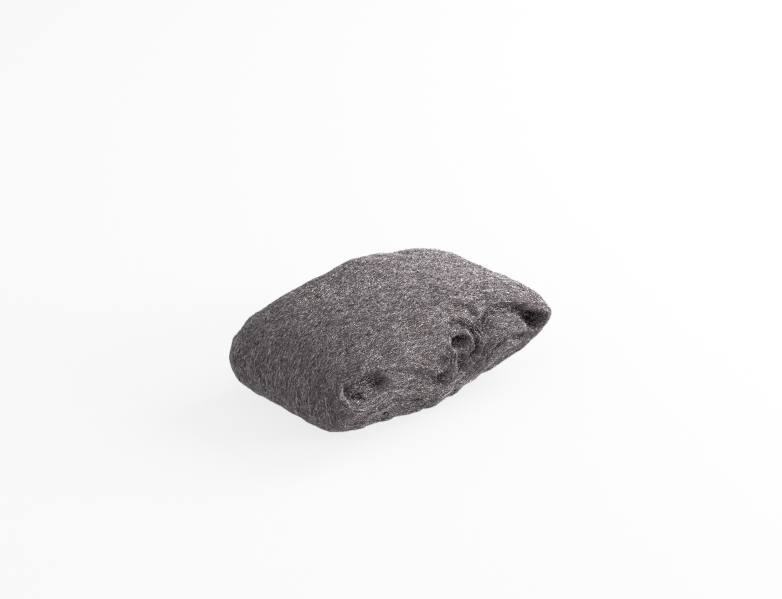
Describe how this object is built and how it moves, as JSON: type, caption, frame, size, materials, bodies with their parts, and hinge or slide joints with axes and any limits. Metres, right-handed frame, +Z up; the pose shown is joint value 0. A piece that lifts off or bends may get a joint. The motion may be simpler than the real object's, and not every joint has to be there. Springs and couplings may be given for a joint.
{
  "type": "steel wool pad",
  "caption": "Flattened roll of steel wool for scouring and polishing, domed above, one fold round and the other tapered, with the rolled turns showing at both ends.",
  "frame": {"origin": "on the floor below the middle of the pad's bounding box", "axes": "+X across the turns from the round fold to the tapered fold, +Y along the roll's axis away from the end in view, +Z up"},
  "size_m": [0.103, 0.0644, 0.0358],
  "materials": {
    "steel_wool": "matt tangle of fine bright low-carbon steel fibres, mid grey as a whole"
  },
  "bodies": {
    "root": {"wool_pad": "steel_wool"}
  },
  "joints": []
}
